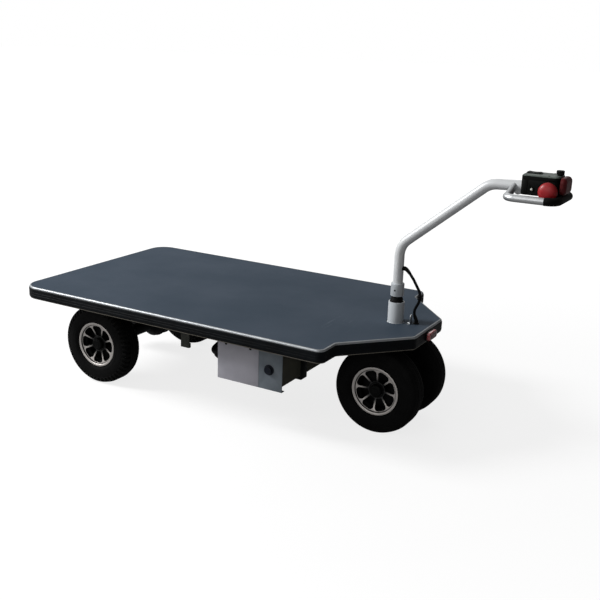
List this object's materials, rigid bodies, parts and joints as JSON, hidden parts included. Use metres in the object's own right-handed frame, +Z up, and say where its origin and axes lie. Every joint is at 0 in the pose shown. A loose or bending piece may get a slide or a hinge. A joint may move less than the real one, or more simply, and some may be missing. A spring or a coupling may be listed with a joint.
{
  "type": "electric hand cart",
  "caption": "Flat deck cart with tapered nose, driven rear wheels on an axle, a steered front wheel pair and a bent handle with a loop grip and control head.",
  "frame": {"origin": "centre of the bounding box at floor level, where the tyres stand", "axes": "+X forward along the cart to its handle, +Y to the cart's left, +Z up"},
  "size_m": [1.568, 0.7, 0.7783],
  "materials": {
    "deck_ply": "sanded plywood",
    "deck_mat": "ribbed rubber mat",
    "edge_aluminium": "extruded, satin",
    "bumper_rubber": "matt rubber",
    "frame_paint": "satin black paint",
    "tray_paint": "dark olive paint",
    "cover_paint": "light grey powder coat",
    "panel_paint": "blue-grey powder coat",
    "collar_paint": "silver-grey paint",
    "tube_steel": "white gloss paint",
    "zinc_steel": "zinc plated",
    "bar_aluminium": "satin",
    "bush_acetal": "turned",
    "black_steel": "black oxide",
    "bracket_paint": "grey primer",
    "wheel_alloy": "machined casting",
    "tyre_rubber": "moulded",
    "grip_rubber": "moulded",
    "head_plastic": "fine grain",
    "lid_plastic": "fine grain",
    "knob_plastic": "moulded",
    "red_plastic": "moulded",
    "lamp_red": "clear red lens",
    "lamp_green": "clear lens",
    "battery_case": "moulded",
    "cable_sheath": "smooth",
    "housing_iron": "painted casting",
    "socket_plastic": "moulded"
  },
  "bodies": {
    "chassis": {"deck_board": "deck_ply", "deck_mat": "deck_mat", "edge_trim": "edge_aluminium", "edge_bumper": "bumper_rubber", "frame_rails": "frame_paint", "cross_members": "frame_paint", "nose_plate": "frame_paint", "head_tube": "collar_paint", "head_bushes": "bush_acetal", "nose_lamp": "lamp_red", "cable_grommet": "grip_rubber", "cable_clip": "zinc_steel", "hanger_bracket": "bracket_paint", "axle_brackets": "frame_paint", "transaxle_housing": "housing_iron", "drive_motor": "frame_paint", "battery_tray": "tray_paint", "batteries": "battery_case", "battery_cover": "cover_paint", "socket_panel": "panel_paint", "charge_socket": "socket_plastic", "motor_controller": "wheel_alloy", "tray_straps": "frame_paint", "power_conduit": "cable_sheath"},
    "steering": {"steering_column": "black_steel", "bogie_yoke": "frame_paint", "front_axle": "zinc_steel", "hinge_clevis": "frame_paint", "hinge_pin": "black_steel", "cable_joint": "grip_rubber", "cable_lower": "cable_sheath"},
    "handle": {"handle_knuckle": "frame_paint", "handle_collar": "collar_paint", "handle_tube": "tube_steel", "tube_grommet": "grip_rubber", "loop_bar": "bar_aluminium", "loop_grip": "grip_rubber", "head_shell": "head_plastic", "head_lid": "lid_plastic", "indicator_lamp": "lamp_green", "cable_upper": "cable_sheath"},
    "stop_button": {"stop_button": "red_plastic"},
    "reverse_button": {"reverse_button": "red_plastic"},
    "speed_knob": {"speed_knob": "knob_plastic"},
    "direction_rocker": {"direction_rocker": "knob_plastic"},
    "front_right_wheel": {"front_right_tyre": "tyre_rubber", "front_right_rim": "wheel_alloy", "front_right_bearings": "zinc_steel", "front_right_cap": "head_plastic"},
    "front_left_wheel": {"front_left_tyre": "tyre_rubber", "front_left_rim": "wheel_alloy", "front_left_bearings": "zinc_steel", "front_left_cap": "head_plastic"},
    "rear_right_wheel": {"rear_right_tyre": "tyre_rubber", "rear_right_rim": "wheel_alloy", "rear_right_shaft": "zinc_steel"},
    "rear_left_wheel": {"rear_left_tyre": "tyre_rubber", "rear_left_rim": "wheel_alloy", "rear_left_shaft": "zinc_steel"}
  },
  "joints": [
    {"name": "steer", "type": "hinge", "parent": "chassis", "child": "steering", "pos_m": [0.34, 0, 0.3], "axis": [0, 0, 1], "range_deg": [-75, 75], "deforming": ["cable_lower"]},
    {"name": "handle_tilt", "type": "hinge", "parent": "steering", "child": "handle", "pos_m": [0.34, 0, 0.3744], "axis": [0, 1, 0], "range_deg": [0, 32], "deforming": ["cable_upper"]},
    {"name": "front_right_spin", "type": "hinge", "parent": "steering", "child": "front_right_wheel", "pos_m": [0.34, -0.085, 0.127], "axis": [0, 1, 0], "continuous": true},
    {"name": "front_left_spin", "type": "hinge", "parent": "steering", "child": "front_left_wheel", "pos_m": [0.34, 0.085, 0.127], "axis": [0, 1, 0], "continuous": true},
    {"name": "rear_right_spin", "type": "hinge", "parent": "chassis", "child": "rear_right_wheel", "pos_m": [-0.558, -0.232, 0.127], "axis": [0, 1, 0], "continuous": true},
    {"name": "rear_left_spin", "type": "hinge", "parent": "chassis", "child": "rear_left_wheel", "pos_m": [-0.558, 0.232, 0.127], "axis": [0, 1, 0], "continuous": true},
    {"name": "stop_press", "type": "slide", "parent": "handle", "child": "stop_button", "axis": [0, 1, 0], "range_m": [0, 0.004], "stiffness_N_per_m": 900},
    {"name": "reverse_press", "type": "slide", "parent": "handle", "child": "reverse_button", "axis": [-1, 0, 0], "range_m": [0, 0.004], "stiffness_N_per_m": 900},
    {"name": "speed_turn", "type": "hinge", "parent": "handle", "child": "speed_knob", "pos_m": [0.7585, 0, 0.765], "axis": [0, 0, 1], "range_deg": [-135, 135]},
    {"name": "direction_rock", "type": "hinge", "parent": "handle", "child": "direction_rocker", "pos_m": [0.6945, 0, 0.765], "axis": [0, 1, 0], "range_deg": [-7, 7]}
  ]
}
